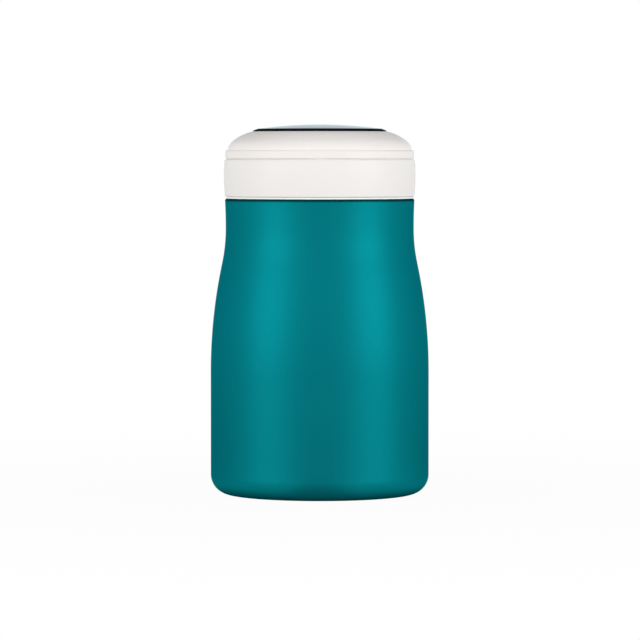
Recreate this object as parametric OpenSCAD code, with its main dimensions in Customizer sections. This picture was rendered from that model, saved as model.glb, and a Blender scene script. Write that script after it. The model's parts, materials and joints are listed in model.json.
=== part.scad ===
// Insulated coffee cup: a double-wall steel body, a screw-on collar and a lid hinged at the back.
// Millimetres, +Z up, origin on the table under the middle of the base, front at -Y, hinge at +Y.

/* [Body] */
// Outside diameter of the belly
belly_d = 80; // [76:0.5:90]
// Outside diameter of the waist, the narrowest part of the body
waist_d = 68.9; // [67:0.1:71]
// Height of the shoulder, where the body ends and the neck begins
body_h = 108.4; // [100:0.1:130]
// Height at which the belly starts to draw in
belly_top = 44.8; // [35:0.1:55]
// Height from the waist up to the shoulder
waist_drop = 11; // [6:0.1:16]
// Share of the draw-in that is the hollow curve below the waist
hollow_share = 0.24; // [0.15:0.01:0.5]
// Radius of the slight flare from the waist up to the shoulder
flare_r = 175; // [100:5:400]
// Radius of the round edge at the foot
foot_r = 7.2; // [5:0.1:9]
// Radius of the shoulder's edge
shoulder_edge = 0.8; // [0.6:0.05:1.2]
// Thickness of the coated outer wall
shell_wall = 0.5; // [0.4:0.05:0.55]
// Thickness of the inner steel wall
liner_wall = 0.4; // [0.3:0.05:0.7]
// Vacuum space between the two walls at the belly
vacuum_gap = 2.6; // [2:0.1:4]
// Radius of the liner's bottom edge
liner_edge = 9; // [5:0.1:12]

/* [Base] */
// Width of the flat ring on which the cup stands
stand_w = 1.4; // [1:0.1:4]
// Outside radius of the fold between that ring and the recess
fold_r = 1; // [0.8:0.05:1.5]
// Depth of the lip that is turned up around the recess
recess_lip = 3; // [2.5:0.1:4]
// Thickness of the welded base plate
plate_t = 0.5; // [0.4:0.05:0.8]
// Height of the base plate's rim
plate_rim = 1.8; // [1.2:0.1:2.2]
// Thickness of the cover disc that hides the vacuum seal
cover_t = 0.6; // [0.4:0.1:0.8]
// Diameter of the dimple around the evacuation hole
dimple_d = 10.2; // [8:0.1:14]
// Rise of the dimple
dimple_h = 1; // [0.8:0.1:1.5]
// Diameter of the evacuation hole
vent_d = 1.6; // [1:0.1:2.5]
// Diameter of the getter pill
getter_d = 8; // [5:0.5:12]
// Thickness of the getter pill
getter_t = 1.2; // [0.8:0.1:1.8]
// Gap between the dimple and the getter pill
getter_gap = 5.4; // [2:0.1:8]
// Free height between the base plate and the liner's bottom
base_gap = 3.5; // [3:0.1:6]

/* [Neck and thread] */
// How far the neck lies back from the waist
neck_set_back = 3.25; // [2.8:0.05:4]
// Height of the neck from the shoulder to the lip
neck_h = 9.1; // [8:0.1:14]
// Width of the rolled lip round the mouth
lip_w = 2.3; // [2:0.05:3]
// Length of the liner's straight neck
liner_neck = 13.5; // [11:0.1:18]
// Room for the thread between the neck and the mouthpiece
thread_gap = 1.1; // [0.8:0.05:1.5]
// Thickness of the ring that closes the gap under the collar
neck_ring_t = 0.6; // [0.3:0.05:0.65]
// How far that ring lies back from the shoulder's widest circle
neck_ring_set_back = 0.5; // [0.3:0.05:1.2]

/* [Collar] */
// Gap between the shoulder and the collar
shoulder_gap = 0.7; // [0.5:0.05:1]
// How far the mouthpiece's lower edge lies above the skirt's
core_set_back = 0.7; // [0.3:0.1:1.5]
// Wall of the mouthpiece outside the thread
thread_wall = 1.3; // [1:0.05:2]
// Wall of the collar's skirt at its widest
skirt_wall = 1.4; // [1.2:0.05:2.5]
// Radius of the skirt's barrel curve
barrel_r = 80; // [60:5:300]
// Share of the skirt's height at which it is widest
barrel_share = 0.55; // [0.4:0.05:0.8]
// Radius of the skirt's lower edge
skirt_low_edge = 0.7; // [0.3:0.05:0.8]
// Radius of the skirt's upper edge
skirt_top_edge = 1; // [0.3:0.05:1.2]
// Thickness of the skirt's top flange
flange_t = 1.5; // [1:0.05:2]
// Thickness of the mouthpiece's deck
deck_t = 1.25; // [1:0.05:2]
// Thickness of the mouth seal
seal_t = 1.25; // [1:0.05:2]
// How far the drinking spout's bore lies back from the mouth
spout_set_back = 3.9; // [3.6:0.1:6]
// Wall of the drinking spout
spout_wall = 2.4; // [1.6:0.1:2.8]
// Height of the drinking spout above the collar
spout_h = 3.25; // [2.5:0.05:5]
// Wall of the spigot that centres the mouthpiece in the mouth
spigot_wall = 1.2; // [0.8:0.1:1.4]
// How far the spigot reaches below the deck
spigot_h = 1.9; // [1.5:0.1:3]
// Gap between the spout and the flange around it
flange_gap = 0.6; // [0.3:0.1:1.5]

/* [Hinge] */
// Diameter of the hinge barrel
barrel_d = 4.3; // [4:0.1:5]
// Diameter of the hinge pin
pin_d = 2; // [1.5:0.1:2.4]
// Width of the lid's knuckle
knuckle_w = 8.6; // [6:0.1:12]
// Width of each ear on the collar
ear_w = 4.4; // [3:0.1:6]
// Gap between the barrel and the collar's widest circle
hinge_gap = 0.05; // [0:0.05:0.3]
// How far the web of each ear runs down the skirt
ear_web_h = 7; // [5:0.1:10]
// Angle to which the lid opens before its heel meets the collar
open_angle = 115; // [100:1:120]
// How far the heel stands out of the barrel
heel_h = 0.55; // [0.4:0.05:0.6]

/* [Lid] */
// Gap between the collar and the lid
lid_gap = 0.25; // [0.2:0.05:0.5]
// How much smaller the lid's radius is than the collar's
lid_step = 0.5; // [0.3:0.05:1]
// Height of the lid's plain band
band_h = 3; // [2.6:0.05:5]
// Wall of the lid's band
band_wall = 2; // [1.6:0.1:2.4]
// Radius of the band's lower edge
band_low_edge = 0.6; // [0.3:0.05:1.2]
// Depth of the seam between the collar and the lid, in to the lip that closes it
seam_depth = 0.7; // [0.65:0.05:1]
// Radius of the band's upper edge
band_top_edge = 0.7; // [0.3:0.05:0.75]
// Width of the ledge around the foot of the dome
ledge = 0.8; // [0.75:0.05:1.2]
// Thickness of the lid's web
web_t = 1.6; // [1.2:0.1:2]
// Slope of the dome at its rim round the disc, in degrees
rim_slope = 14; // [8:1:20]
// Slope where the dome's top runs into its rounder side
brow_slope = 36; // [30:1:45]
// Slope of the dome at its foot on the band
foot_slope = 80; // [70:1:86]
// Wall of the dome
dome_wall = 1.6; // [1.2:0.1:2]
// Height of the rim that centres the dome on the band
rim_h = 0.7; // [0.5:0.05:1]
// Free height under the dome for the screw heads
screw_room = 2.05; // [1.8:0.05:3]
// Thickness of the dome's top plate
top_plate = 1.5; // [1.2:0.1:2]
// Depth of the recess that holds the disc
disc_recess = 1.1; // [0.8:0.1:1.6]
// Width of the land around that recess
rim_land = 0.4; // [0.3:0.1:1]
// Width of the dome's slope, from its foot in to the land round the disc
slope_w = 8.9; // [8:0.1:12]
// Height of the disc's upright edge
disc_edge = 1.35; // [1.2:0.05:2]
// Width of the disc's bevel
bevel_w = 0.4; // [0.2:0.1:3]
// Height of the disc's bevel
bevel_h = 0.15; // [0.1:0.05:1.2]
// Rise of the disc's crown inside the bevel
crown_h = 1.85; // [0.5:0.05:2.5]
// Thickness of the adhesive pad under the disc
pad_t = 0.4; // [0.2:0.1:0.6]
// How far the adhesive pad lies back from the disc's edge
pad_set_back = 3; // [1:0.5:8]
// Width of the fingernail nick at the front of the lid
nick_w = 2.6; // [1.5:0.1:4]
// Depth of the fingernail nick
nick_depth = 0.6; // [0.3:0.1:0.8]

/* [Stopper] */
// Radial gap between the stopper and the spout
stopper_gap = 1.4; // [1.2:0.1:2]
// Depth of the stopper below the web
stopper_h = 9; // [8:0.1:12]
// Draft of the stopper's wall over its depth
stopper_draft = 0.5; // [0.2:0.1:1]
// Wall of the stopper
stopper_wall = 2.8; // [2.4:0.1:3.5]
// Floor of the stopper
stopper_floor = 1.8; // [1.2:0.1:2.4]
// Depth of the groove for the lip seal
groove_depth = 1.3; // [0.9:0.1:1.5]
// Height of each of the lip seal's two beads
bead_h = 1.1; // [0.8:0.1:1.3]
// Running gap between the lip seal and the spout
bead_gap = 0.25; // [0.15:0.05:0.4]
// Depth from the web to the groove
groove_drop = 3; // [2.5:0.1:4]
// Free height above the foam disc
foam_gap = 0.6; // [0.3:0.1:2]
// Number of screws
screw_count = 3; // [2:1:4]
// Diameter of the screws
screw_d = 1.9; // [1.5:0.1:2.2]
// Diameter of the screw heads
screw_head_d = 4.4; // [3.5:0.1:5]
// Height of the screw heads
screw_head_h = 1.4; // [1:0.1:1.6]
// Wall of the screw bosses
boss_wall = 1.3; // [1:0.1:1.6]
// How far the screws lie in from the stopper's wall
screw_set_back = 5.3; // [4.5:0.1:8]
// Length of the screws below the web
screw_l = 5.5; // [4:0.1:6]

/* [Hidden] */
$fn = 96;

// Clearances between pieces that fit together
slip = 0.1;        // radial gap of pieces that drop into one another
weld_fit = 0.05;   // radial gap of a welded or pressed joint
pin_fit = 0.02;    // radial gap of the pin in the collar's ears
pin_run = 0.06;    // radial gap of the pin in the lid's knuckle
seal_gap = 0.1;    // height between the lip and the mouth seal
seal_room = 0.3;   // radial room on both sides of the mouth seal
spout_clear = 0.6; // height between the spout and the lid's web
spigot_room = 0.5; // radial room of the spigot in the mouth
side_gap = 0.3;    // gap between the knuckle and the ears, and under and over their webs
heel_turn = 1;     // turn in degrees left between the heel and the collar when the lid is fully open
bore_room = 0.3;   // room round the screws, the foam and the web's edge
steps = 12;        // straight steps in each curve of a profile

// Radii and heights of the body
belly_r = belly_d / 2;
waist_r = waist_d / 2;
neck_r = waist_r - neck_set_back;
mouth_r = neck_r - lip_w;
recess_r = belly_r - foot_r - stand_w - fold_r;
dimple_r = dimple_d / 2;
waist_z = body_h - waist_drop;
neck_top = body_h + neck_h;
lip_r = lip_w / 2;
lip_top = neck_top + lip_r;
shoulder_r = waist_r + flare_r - sqrt(pow(flare_r, 2) - pow(waist_drop - shoulder_edge, 2));
plate_top = recess_lip;
plate_low = plate_top - plate_t;
liner_low = plate_top + base_gap;
liner_r = belly_r - shell_wall - vacuum_gap;
liner_neck_z = neck_top - liner_neck;
liner_weld_z = liner_low + liner_edge;

// Radii and heights of the collar
mouthpiece_in = neck_r + thread_gap;
mouthpiece_out = mouthpiece_in + thread_wall;
skirt_in = mouthpiece_out + slip;
collar_r = skirt_in + skirt_wall;
collar_low = body_h + shoulder_gap;
deck_low = lip_top + seal_gap + seal_t;
deck_top = deck_low + deck_t;
collar_top = deck_top + flange_t;
spout_r = mouth_r - spout_set_back;
spout_out = spout_r + spout_wall;
spout_top = collar_top + spout_h;
spigot_out = mouth_r - spigot_room;
barrel_z = collar_low + barrel_share * (collar_top - collar_low);

// Radii and heights of the lid
lid_low = collar_top + lid_gap;
lid_r = collar_r - lid_step;
band_top = lid_low + band_h;
dome_r = lid_r - ledge;
web_low = spout_top + spout_clear;
web_top = web_low + web_t;
dome_top = web_top + screw_room + top_plate + disc_recess;
disc_r = dome_r - slope_w - rim_land - slip;
disc_floor = dome_top - disc_recess;
disc_low = disc_floor + pad_t;

// The dome's outside is two arcs, from its rim round the disc to the brow and from there to its foot on the band.
// Their radii follow from the three slopes and from how far the foot lies out and down from the rim.
dome_rim = [disc_r + slip + rim_land, dome_top];
dome_out = dome_r - dome_rim[0];
dome_drop = dome_top - band_top;
top_out = sin(brow_slope) - sin(rim_slope);
top_drop = cos(rim_slope) - cos(brow_slope);
side_out = sin(foot_slope) - sin(brow_slope);
side_drop = cos(brow_slope) - cos(foot_slope);
both_arcs = top_out * side_drop - side_out * top_drop;
top_curve = (dome_out * side_drop - dome_drop * side_out) / both_arcs;
side_curve = (dome_drop * top_out - dome_out * top_drop) / both_arcs;
top_c = dome_rim - top_curve * [sin(rim_slope), cos(rim_slope)];
side_c = top_c + (top_curve - side_curve) * [sin(brow_slope), cos(brow_slope)];
dome_wall_r = dome_inside_r(band_top + rim_h);

// The hinge axis runs along X through the middle of the seam
barrel_half = barrel_d / 2;
hinge_y = collar_r + hinge_gap + barrel_half;
hinge_z = collar_top + lid_gap / 2;
axis = [hinge_y, hinge_z];
pin_l = knuckle_w + 2 * (side_gap + ear_w);

// Radii and heights of the stopper
stopper_r = spout_r - stopper_gap;
stopper_low = web_low - stopper_h;
cavity_r = stopper_r - stopper_wall;
cavity_low = stopper_low + stopper_floor;
screw_ring = cavity_r - screw_set_back;
groove_r = stopper_r - groove_depth;
groove_top = web_low - groove_drop;
groove_low = groove_top - 2 * bead_h - 2 * slip;
boss_d = screw_d + 2 * boss_wall;

// Radius of the dome's inside at a height, on its side arc
function dome_inside_r(z) = side_c[0] + sqrt(pow(side_curve - dome_wall, 2) - pow(z - side_c[1], 2));

// Points of an arc round c from angle a0 to a1
function arc(c, r, a0, a1) =
    [for (i = [0:steps]) let (a = a0 + (a1 - a0) * i / steps) c + r * [cos(a), sin(a)]];

// The same points without the first, for a curve that carries on from another
function arc_on(c, r, a0, a1) = [for (p = [1:steps]) arc(c, r, a0, a1)[p]];

function reversed(list) = [for (i = [len(list) - 1:-1:0]) list[i]];

// The draw-in from a wide radius up to a narrow one: a full curve that turns into a hollow one, both upright
// at their far ends. inset moves the whole curve inwards by a wall.
function draw_in(wide, low, narrow, high, inset) =
    let (dr = wide - narrow, dz = high - low)
    let (both = (dr * dr + dz * dz) / (2 * dr), turn = 2 * atan(dr / dz))
    let (hollow = hollow_share * both, full = both - hollow)
    concat(arc([wide - full, low], full - inset, 0, turn),
        arc_on([narrow + hollow, high], hollow + inset, 180 + turn, 180));

function turned(r, a) = r * [cos(a), sin(a)];

// Tangent point of a line from p to a circle round c, on the side given by 1 or -1
function tangent(p, c, r, side) =
    let (d = c - p, l = norm(d), a = atan2(d[1], d[0]), b = asin(r / l))
    p + sqrt(l * l - r * r) * [cos(a + side * b), sin(a + side * b)];

// The shell's outside from the recess lip round the foot and up to the shoulder's edge, moved in by a wall
function shell_side(inset) =
    let (turn = asin((waist_drop - shoulder_edge) / flare_r))
    concat(arc([recess_r + fold_r, fold_r], fold_r - inset, 180, 270),
        arc([belly_r - foot_r, foot_r], foot_r - inset, 270, 360),
        draw_in(belly_r, belly_top, waist_r, waist_z, inset),
        arc_on([waist_r + flare_r, waist_z], flare_r + inset, 180, 180 - turn),
        arc_on([shoulder_r - shoulder_edge, body_h - shoulder_edge], shoulder_edge - inset, 0, 90));

module outer_shell() {
    color("teal")
    rotate_extrude()
    polygon(concat(
        [[recess_r, recess_lip]],
        shell_side(0),
        [[neck_r, body_h], [neck_r, neck_top], [neck_r - shell_wall, neck_top],
            [neck_r - shell_wall, body_h - shell_wall]],
        reversed(shell_side(shell_wall)),
        [[recess_r + shell_wall, recess_lip]]));
}

// The liner's tube, rolled over the shell's neck in a round lip
module inner_liner() {
    color("silver")
    rotate_extrude()
    polygon(concat(
        [[liner_r, liner_weld_z]],
        draw_in(liner_r, belly_top, mouth_r + liner_wall, liner_neck_z, 0),
        [[mouth_r + liner_wall, neck_top]],
        arc([mouth_r + lip_r, neck_top], lip_r, 0, 180),
        reversed(draw_in(liner_r, belly_top, mouth_r + liner_wall, liner_neck_z, liner_wall)),
        [[liner_r - liner_wall, liner_weld_z]]));
}

// The liner's pressed bottom, welded to the tube above its round edge
module liner_base() {
    color("silver")
    rotate_extrude()
    polygon(concat(
        [[0, liner_low]],
        arc([liner_r - liner_edge, liner_weld_z], liner_edge, 270, 360),
        reversed(arc([liner_r - liner_edge, liner_weld_z], liner_edge - liner_wall, 270, 360)),
        [[0, liner_low + liner_wall]]));
}

// The plate that closes the shell, with the dimple and the hole through which it is evacuated
module base_plate() {
    plate_r = recess_r - weld_fit;
    color("silver")
    rotate_extrude()
    polygon([
        [vent_d / 2, plate_low + dimple_h], [dimple_r - plate_t, plate_low + dimple_h],
        [dimple_r, plate_low], [plate_r - plate_t, plate_low], [plate_r - plate_t, plate_top - plate_rim],
        [plate_r, plate_top - plate_rim], [plate_r, plate_top], [dimple_r + plate_t, plate_top],
        [dimple_r, plate_top + dimple_h], [vent_d / 2, plate_top + dimple_h]]);
}

// The disc glued into the recess over the vacuum seal
module base_cover() {
    cover_r = recess_r - weld_fit - plate_t - slip;
    color("gainsboro")
    translate([0, 0, plate_low - cover_t])
    cylinder(r = cover_r, h = cover_t);
}

// The bead of solder glass that closes the evacuation hole
module vacuum_seal() {
    bead_r = dimple_r - 2 * plate_t;
    bead_top = plate_low + dimple_h;
    bead_t = dimple_h - slip;
    plug_r = vent_d / 2 - weld_fit;
    color("dimgray")
    rotate_extrude()
    polygon(concat(
        [[0, bead_top - bead_t]],
        arc([bead_r - bead_t / 2, bead_top - bead_t / 2], bead_t / 2, 270, 360),
        [[bead_r, bead_top], [plug_r, bead_top], [plug_r, bead_top + plate_t], [0, bead_top + plate_t]]));
}

// The pill that soaks up the last gas in the vacuum space
module getter() {
    color("gray")
    translate([dimple_r + plate_t + getter_gap + getter_d / 2, 0, plate_top])
    cylinder(d = getter_d, h = getter_t);
}

// The pale ring that shows in the gap between the body and the collar
module neck_ring() {
    color("white")
    translate([0, 0, body_h])
    difference() {
        cylinder(r = shoulder_r - neck_ring_set_back, h = neck_ring_t);
        translate([0, 0, -1])
        cylinder(r = neck_r + slip, h = neck_ring_t + 2);
    }
}

module mouth_seal() {
    color("whitesmoke")
    translate([0, 0, lip_top + seal_gap])
    difference() {
        cylinder(r = mouthpiece_in - seal_room, h = seal_t);
        translate([0, 0, -1])
        cylinder(r = spigot_out + seal_room, h = seal_t + 2);
    }
}

// The threaded core of the collar, with its deck, spigot and drinking spout
module mouthpiece() {
    spigot_low = deck_low - spigot_h;
    core_low = collar_low + core_set_back;
    color("white")
    rotate_extrude()
    polygon(concat(
        [[mouthpiece_in, core_low], [mouthpiece_out, core_low], [mouthpiece_out, deck_top],
            [spout_out, deck_top]],
        arc([spout_r + spout_wall / 2, spout_top - spout_wall / 2], spout_wall / 2, 0, 180),
        [[spout_r, deck_low], [spigot_out - spigot_wall, deck_low], [spigot_out - spigot_wall, spigot_low],
            [spigot_out, spigot_low], [spigot_out, deck_low], [mouthpiece_in, deck_low]]));
}

// The skirt's barrel-shaped outside with its two round edges
function skirt_side() =
    let (c = [collar_r - barrel_r, barrel_z])
    let (low = asin((barrel_z - collar_low - skirt_low_edge) / (barrel_r - skirt_low_edge)))
    let (high = asin((collar_top - skirt_top_edge - barrel_z) / (barrel_r - skirt_top_edge)))
    concat(arc(c + (barrel_r - skirt_low_edge) * [cos(low), -sin(low)], skirt_low_edge, -90, -low),
        arc_on(c, barrel_r, -low, high),
        arc_on(c + (barrel_r - skirt_top_edge) * [cos(high), sin(high)], skirt_top_edge, high, 90));

// Places a profile drawn in Y and Z between two places along X
module along_x(x0, x1) {
    translate([x0, 0, 0])
    rotate([90, 0, 90])
    linear_extrude(x1 - x0)
    children();
}

module pin_hole(gap) {
    translate([-pin_l, hinge_y, hinge_z])
    rotate([0, 90, 0])
    cylinder(d = pin_d + 2 * gap, h = 2 * pin_l);
}

// One ear of the collar: a barrel on a web that runs down the back of the skirt
module ear(x0, x1) {
    web_foot = [collar_r - skirt_wall / 2, collar_top - ear_web_h];
    web_head = hinge_z - lid_gap / 2 - side_gap;
    difference() {
        along_x(x0, x1) {
            translate(axis)
            circle(r = barrel_half);
            polygon([[0, web_head], [hinge_y, web_head], tangent(web_foot, axis, barrel_half, -1),
                web_foot, [0, web_foot[1]]]);
        }
        cylinder(r = skirt_in + skirt_wall / 4, h = dome_top);
    }
}

// The outer skirt of the collar, with the flange that covers the deck and the two hinge ears
module collar_skirt() {
    flange_r = spout_out + flange_gap;
    ear_x = knuckle_w / 2 + side_gap;
    color("ivory")
    difference() {
        union() {
            rotate_extrude()
            polygon(concat(
                [[skirt_in, collar_low]],
                skirt_side(),
                [[flange_r, collar_top], [flange_r, deck_top], [skirt_in, deck_top]]));
            ear(ear_x, ear_x + ear_w);
            ear(-ear_x - ear_w, -ear_x);
        }
        pin_hole(pin_fit);
    }
}

module hinge_pin() {
    color("silver")
    translate([-pin_l / 2, hinge_y, hinge_z])
    rotate([0, 90, 0])
    cylinder(d = pin_d, h = pin_l);
}

// The lid's knuckle: a barrel, the web that carries it and the heel that stops the lid when it is open
module knuckle() {
    web_foot = [lid_r - ledge, band_top - band_top_edge];
    web_head = hinge_z + lid_gap / 2 + side_gap;
    heel_r = barrel_half + heel_h;
    stop_at = 180 + acos((hinge_y - collar_r) / heel_r);
    heel_at = stop_at + open_angle + heel_turn;
    heel_tip = 6;
    heel_back = 45;
    difference() {
        along_x(-knuckle_w / 2, knuckle_w / 2) {
            translate(axis)
            circle(r = barrel_half);
            polygon([[0, web_head], [hinge_y, web_head], tangent(web_foot, axis, barrel_half, 1),
                web_foot, [0, web_foot[1]]]);
            polygon([axis, axis + turned(heel_r, heel_at), axis + turned(heel_r, heel_at + heel_tip),
                axis + turned(barrel_half, heel_at + heel_back)]);
        }
        cylinder(r = lid_r - band_wall / 2, h = dome_top);
    }
}

module at_screws() {
    for (i = [0:screw_count - 1])
        rotate([0, 0, 90 + i * 360 / screw_count])
        translate([screw_ring, 0, 0])
        children();
}

// The lid's carrier: the plain band, the web inside it and the hinge knuckle
module lid_band() {
    rim_r = dome_wall_r - slip;
    rim_top = band_top + rim_h - slip;
    lip_low = collar_top + slip;
    web_r = dome_inside_r(web_top) - bore_room;
    color("oldlace")
    difference() {
        union() {
            rotate_extrude()
            polygon(concat(
                [[0, web_low], [spout_out + 2 * spout_clear, web_low],
                    [lid_r - band_wall, lid_low + band_h - web_t], [lid_r - band_wall, lip_low],
                    [lid_r - seam_depth, lip_low], [lid_r - seam_depth, lid_low]],
                arc([lid_r - band_low_edge, lid_low + band_low_edge], band_low_edge, 270, 360),
                arc([lid_r - band_top_edge, band_top - band_top_edge], band_top_edge, 0, 90),
                [[rim_r, band_top], [rim_r, rim_top], [web_r, web_top], [0, web_top]]));
            knuckle();
        }
        pin_hole(pin_run);
        at_screws()
        cylinder(d = screw_d + 2 * bore_room, h = dome_top);
        // fingernail nick in the lower front edge
        translate([0, -lid_r - nick_w / 2 + nick_depth, lid_low - 1])
        cylinder(d = nick_w, h = 1 + nick_w / 2);
    }
}

// The dome that closes the lid's top, with the recess for the disc
module lid_dome() {
    ceiling = disc_floor - top_plate;
    wall_at = acos((dome_wall_r - side_c[0]) / (side_curve - dome_wall));
    ceiling_at = asin((ceiling - top_c[1]) / (top_curve - dome_wall));
    color("ivory")
    rotate_extrude()
    polygon(concat(
        [[dome_wall_r, band_top]],
        arc(side_c, side_curve, 90 - foot_slope, 90 - brow_slope),
        arc_on(top_c, top_curve, 90 - brow_slope, 90 - rim_slope),
        [[disc_r + slip, dome_top], [disc_r + slip, disc_floor], [0, disc_floor], [0, ceiling]],
        arc(top_c, top_curve - dome_wall, ceiling_at, 90 - brow_slope),
        arc_on(side_c, side_curve - dome_wall, 90 - brow_slope, wall_at)));
}

// The glossy disc: an upright edge, a bevel and a shallow crown
module lid_disc() {
    crown_w = disc_r - bevel_w;
    crown_r = (crown_w * crown_w + crown_h * crown_h) / (2 * crown_h);
    bevel_z = disc_low + disc_edge;
    crown_z = bevel_z + bevel_h;
    color("black")
    rotate_extrude()
    polygon(concat(
        [[0, disc_low], [disc_r, disc_low], [disc_r, bevel_z]],
        arc([0, crown_z + crown_h - crown_r], crown_r, 90 - asin(crown_w / crown_r), 90)));
}

module disc_pad() {
    color("dimgray")
    translate([0, 0, disc_floor])
    cylinder(r = disc_r - pad_set_back, h = pad_t);
}

// The hollow stopper that hangs below the web, with screw bosses and a groove for its seal
module stopper() {
    low_r = stopper_r - stopper_draft;
    edge = stopper_floor / 2;
    color("white")
    difference() {
        union() {
            rotate_extrude()
            polygon(concat(
                [[0, stopper_low]],
                arc([low_r - edge, stopper_low + edge], edge, 270, 360),
                [[stopper_r, groove_low], [groove_r, groove_low], [groove_r, groove_top], [stopper_r, groove_top],
                    [stopper_r, web_low], [cavity_r, web_low], [cavity_r, cavity_low], [0, cavity_low]]));
            at_screws()
            translate([0, 0, cavity_low - stopper_floor / 2])
            cylinder(d = boss_d, h = web_low - cavity_low + stopper_floor / 2);
        }
        at_screws()
        translate([0, 0, web_low - screw_l])
        cylinder(d = screw_d + 2 * weld_fit, h = screw_l + 1);
    }
}

// The lip seal: two round beads on a flat back
module stopper_seal() {
    bead_r = bead_h / 2;
    bead_c = spout_r - bead_gap - bead_r;
    low = groove_low + slip;
    color("whitesmoke")
    rotate_extrude()
    polygon(concat(
        [[groove_r + weld_fit, low]],
        arc([bead_c, low + bead_r], bead_r, -90, 90),
        arc_on([bead_c, low + bead_h + bead_r], bead_r, -90, 90),
        [[groove_r + weld_fit, low + 2 * bead_h]]));
}

// The foam disc that fills the stopper
module stopper_foam() {
    color("lightyellow")
    difference() {
        translate([0, 0, cavity_low])
        cylinder(r = cavity_r - bore_room, h = web_low - foam_gap - cavity_low);
        at_screws()
        cylinder(d = boss_d + 2 * bore_room, h = dome_top);
    }
}

// The pan-head screws that hold the stopper to the web
module lid_screws() {
    color("silver")
    at_screws() {
        translate([0, 0, web_low - screw_l + slip])
        cylinder(d = screw_d, h = screw_l + web_t - slip);
        translate([0, 0, web_top])
        cylinder(d = screw_head_d, h = screw_head_h);
    }
}

outer_shell();
inner_liner();
liner_base();
base_plate();
base_cover();
vacuum_seal();
getter();
neck_ring();
mouth_seal();
mouthpiece();
collar_skirt();
hinge_pin();
lid_band();
lid_dome();
lid_disc();
disc_pad();
stopper();
stopper_seal();
stopper_foam();
lid_screws();
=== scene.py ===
"""Waisted double-wall coffee cup with a screw-on collar and a hinged lid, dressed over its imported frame."""
import json
import math

import bmesh
import bpy
import numpy as np
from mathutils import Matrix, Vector


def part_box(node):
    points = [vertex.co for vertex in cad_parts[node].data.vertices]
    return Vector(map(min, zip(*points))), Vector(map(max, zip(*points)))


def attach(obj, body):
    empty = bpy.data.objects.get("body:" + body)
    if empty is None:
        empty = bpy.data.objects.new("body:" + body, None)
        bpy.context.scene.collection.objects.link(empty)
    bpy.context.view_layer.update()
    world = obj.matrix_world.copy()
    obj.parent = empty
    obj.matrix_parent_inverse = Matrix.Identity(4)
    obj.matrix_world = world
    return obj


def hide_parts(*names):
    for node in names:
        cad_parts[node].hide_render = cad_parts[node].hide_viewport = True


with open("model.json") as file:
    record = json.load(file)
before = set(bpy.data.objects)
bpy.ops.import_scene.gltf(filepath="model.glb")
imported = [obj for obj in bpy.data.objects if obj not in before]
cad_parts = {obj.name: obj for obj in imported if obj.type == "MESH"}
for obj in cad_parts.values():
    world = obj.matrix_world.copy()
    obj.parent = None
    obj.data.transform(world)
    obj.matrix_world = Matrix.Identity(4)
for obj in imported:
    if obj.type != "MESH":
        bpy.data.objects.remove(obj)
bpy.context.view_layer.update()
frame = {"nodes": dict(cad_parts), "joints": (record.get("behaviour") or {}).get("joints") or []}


# Camera, floor and light. The cup stands on a pale sweep and is seen from its shoulder through a long lens.
# Two soft boxes stand left and right of the camera, and the rest of the light comes from the room, which is
# bright round the horizon, most of all behind the camera, and dim overhead.
FRAME_SPAN, SENSOR_W = 0.2349, 36
EYE, AIM = Vector((0.0001, -1.464, 0.125)), Vector((0.0001, 0, 0.0638))
BOX_W, BOX_H = 0.7, 0.6

scene = bpy.context.scene
scene.view_settings.view_transform = "Standard"
sight = AIM - EYE
lens = bpy.data.cameras.new("camera")
lens.sensor_width = SENSOR_W
lens.lens = SENSOR_W * sight.length / FRAME_SPAN
camera = bpy.data.objects.new("camera", lens)
camera.location = EYE
camera.rotation_euler = sight.to_track_quat("-Z", "Y").to_euler()
scene.collection.objects.link(camera)
scene.camera = camera


def soft_box(name, spot, watts):
    """Rectangular lamp at a spot in metres, turned to the middle of the cup."""
    lamp = bpy.data.lights.new(name, "AREA")
    lamp.shape = "RECTANGLE"
    lamp.size, lamp.size_y, lamp.energy = BOX_W, BOX_H, watts
    box = bpy.data.objects.new(name, lamp)
    box.location = spot
    box.rotation_euler = (AIM - Vector(spot)).to_track_quat("-Z", "Y").to_euler()
    box.visible_camera = False
    scene.collection.objects.link(box)
    return box


soft_boxes = (soft_box("soft_box_left", (-0.90, -0.63, 0.26), 4.2),
              soft_box("soft_box_right", (0.94, -0.57, 0.26), 4.6))


def add(tree, kind, inputs, **settings):
    """One shader node: settings are its properties, and each input is a value or another node's output."""
    node = tree.nodes.new("ShaderNode" + kind)
    for name, value in settings.items():
        setattr(node, name, value)
    for name, value in inputs.items():
        if isinstance(value, bpy.types.NodeSocket):
            tree.links.new(value, node.inputs[name])
        else:
            node.inputs[name].default_value = value
    return node


def reckon(tree, operation, *values):
    """Result of one sum on numbers or outputs."""
    return add(tree, "Math", dict(enumerate(values)), operation=operation).outputs[0]


def ramp(tree, value, start, end, low=0, high=1):
    """Goes evenly from low to high while the value goes from start to end, and is level outside them."""
    ends = {"From Min": start, "From Max": end, "To Min": low, "To Max": high}
    return add(tree, "MapRange", {"Value": value, **ends}).outputs[0]


def blend(tree, share, first, second):
    """Colour that slides from the first to the second while share goes from 0 to 1."""
    return add(tree, "Mix", {"Factor": share, 6: first, 7: second}, data_type="RGBA").outputs[2]


def seen_rays(tree):
    """Two masks for rays that look at the backdrop: the camera's own, and those by way of gloss or glass.
    Both are 0 for the light that the backdrop sheds."""
    path = add(tree, "LightPath", {}).outputs
    return path["Is Camera Ray"], reckon(tree, "MAXIMUM", path["Is Glossy Ray"], path["Is Transmission Ray"])


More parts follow.
